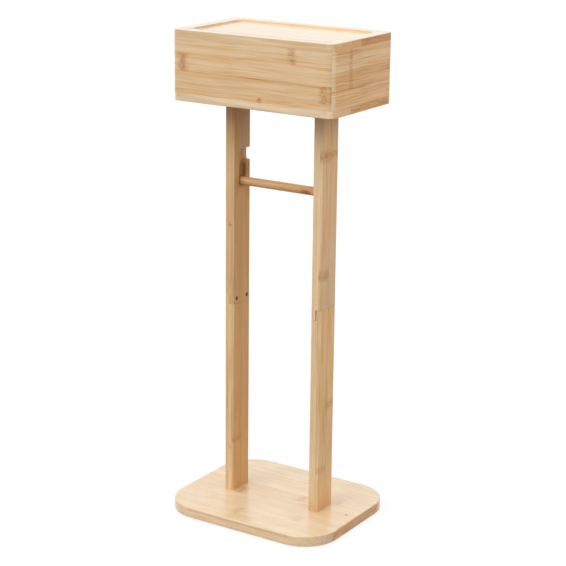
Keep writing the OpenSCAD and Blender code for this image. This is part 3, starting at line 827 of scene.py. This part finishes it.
class STAND_OT_fasteners(bpy.types.Operator):
    """Bolts, inserts, screws, dowels and splines"""
    bl_idname = "stand.fasteners"
    bl_label = "Fasteners"

    def execute(self, context):
        settings = context.scene.stand_sizes
        zinc, brown, beech, tree = zinc_plated_steel(), browned_steel(), raw_beech(), turned_tree()
        bolt = {"Head Radius": 6 * MM, "Shank Radius": 3 * MM, "Tip Radius": 2.4 * MM,
                "Tip Length": 0.6 * MM, "Thread Start": 8 * MM, "Thread Depth": settings.thread_depth,
                "Thread Pitch": settings.thread_pitch, "Recess Depth": 2.5 * MM, "Hexagon Width": 4 * MM}
        screw = {"Length": 12.5 * MM, "Head Radius": 3 * MM, "Shank Radius": 1.5 * MM,
                 "Tip Radius": 0.4 * MM, "Tip Length": 3 * MM, "Thread Start": 3 * MM,
                 "Thread Depth": settings.thread_depth, "Thread Pitch": 1.2 * MM, "Recess Depth": 1 * MM,
                 "Cross Length": 3 * MM, "Cross Width": 0.8 * MM, "Tilt": FULL_TURN / 4}
        for node, flip in (("base_bolts", 0.0), ("box_bolts", FULL_TURN / 2)):
            low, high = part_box(node)
            shape = bolt | {"Length": high.z - low.z, "Flip": flip}
            points = four_places(node, bolt["Head Radius"], bolt["Head Radius"], high.z if flip else low.z)
            repeated(node, node + "_turned", points, tree, shape, zinc)
        low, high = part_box("lap_screws")
        points = four_places("lap_screws", screw["Length"], screw["Head Radius"], (low.z + high.z) / 2)
        repeated("lap_screws", "lap_screws_turned", points, tree, screw, brown)
        for node in ("base_inserts", "box_inserts"):
            dress(node, zinc)
        for node in ("corner_splines", "floor_dowels"):
            dress(node, beech)
        return {"FINISHED"}


class STAND_OT_stage(bpy.types.Operator):
    """Pale floor, even soft light and the camera"""
    bl_idname = "stand.stage"
    bl_label = "Stage"

    def execute(self, context):
        scene, settings = context.scene, context.scene.stand_stage
        scene.view_settings.view_transform = "Standard"
        self.light(scene, settings)
        self.floor(scene)
        self.camera(scene, settings)
        return {"FINISHED"}

    def seen(self, tree):
        """1 for rays from the camera, and for those that gloss or glass sends on."""
        rays = add(tree, "ShaderNodeLightPath").outputs
        seen = rays["Is Camera Ray"]
        for way in ("Is Glossy Ray", "Is Transmission Ray"):
            seen = add(tree, "ShaderNodeMath", seen, rays[way], operation="MAXIMUM")
        return seen

    def floor(self, scene):
        """Wide matt board that keeps the stand's shadow, and is otherwise seen as white."""
        half = 15
        corners = [(x * half, y * half, 0) for x, y in ((-1, -1), (1, -1), (1, 1), (-1, 1))]
        floor = new_object("floor")
        floor.data.from_pydata(corners, [], [(0, 1, 2, 3)])
        material, tree = empty_material("painted_board")
        paint = add(tree, "ShaderNodeBsdfDiffuse", scene.stand_colours.floor)
        # With this glow the lit paint is seen as white
        glow = 0.81
        glow = add(tree, "ShaderNodeMath", self.seen(tree), glow, operation="MULTIPLY")
        glow = add(tree, "ShaderNodeEmission", (1, 1, 1, 1), glow)
        both = add(tree, "ShaderNodeAddShader", paint, glow)
        add(tree, "ShaderNodeOutputMaterial", both)
        floor.data.materials.append(material)

    def light(self, scene, settings):
        """White light from all sides, brightest above, and a broad soft lamp at the front left."""
        scene.world = bpy.data.worlds.new("studio")
        scene.world.use_nodes = True
        tree = scene.world.node_tree
        tree.nodes.clear()
        way = add(tree, "ShaderNodeTexCoord").outputs["Generated"]
        up = add(tree, "ShaderNodeSeparateXYZ", way).outputs["Z"]
        strength = add(tree, "ShaderNodeMapRange", up, 0.0, 1.0, settings.sky, settings.overhead)
        strength = add(tree, "ShaderNodeMix", self.seen(tree), strength, 1.0)
        sky = add(tree, "ShaderNodeBackground", (1, 1, 1, 1), strength)
        add(tree, "ShaderNodeOutputWorld", sky)
        towards_lamp = Vector((-0.15, -0.72, 0.68))
        lamp = bpy.data.objects.new("soft_lamp", bpy.data.lights.new("soft_lamp", "SUN"))
        lamp.data.energy = settings.lamp
        lamp.data.angle = settings.lamp_spread
        lamp.rotation_euler = towards_lamp.to_track_quat("Z", "Y").to_euler()
        scene.collection.objects.link(lamp)

    def camera(self, scene, settings):
        """Camera where the photograph was taken from."""
        camera = bpy.data.objects.new("camera", bpy.data.cameras.new("camera"))
        camera.data.lens = settings.lens
        camera.data.clip_end = 100
        camera.location = settings.place
        camera.rotation_euler = settings.turn
        scene.collection.objects.link(camera)
        scene.camera = camera


class STAND_PT_panel(bpy.types.Panel):
    """Lists the stand's sizes, colours, light and pieces"""
    bl_idname = "STAND_PT_panel"
    bl_label = "Bamboo stand"
    bl_space_type = "VIEW_3D"
    bl_region_type = "UI"
    bl_category = "Stand"

    def draw(self, context):
        scene = context.scene
        for group in (scene.stand_sizes, scene.stand_colours, scene.stand_stage):
            for name in group.__annotations__:
                self.layout.prop(group, name)
        for operator in OPERATORS:
            self.layout.operator(operator.bl_idname)


GROUPS = {"stand_sizes": StandSizes, "stand_colours": StandColours, "stand_stage": StandStage}
OPERATORS = (STAND_OT_base, STAND_OT_pads, STAND_OT_posts, STAND_OT_rod, STAND_OT_box, STAND_OT_lid,
             STAND_OT_fasteners, STAND_OT_stage)
CLASSES = tuple(GROUPS.values()) + OPERATORS + (STAND_PT_panel,)


def register():
    for cls in CLASSES:
        bpy.utils.register_class(cls)
    for name, cls in GROUPS.items():
        setattr(bpy.types.Scene, name, PointerProperty(type=cls))


def unregister():
    for name in GROUPS:
        delattr(bpy.types.Scene, name)
    for cls in reversed(CLASSES):
        bpy.utils.unregister_class(cls)


def main():
    """Builds the scene."""
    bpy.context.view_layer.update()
    register()
    bpy.ops.stand.base()
    bpy.ops.stand.pads()
    bpy.ops.stand.posts()
    bpy.ops.stand.rod()
    bpy.ops.stand.box()
    bpy.ops.stand.lid()
    bpy.ops.stand.fasteners()
    bpy.ops.stand.stage()


if __name__ == "__main__":
    main()
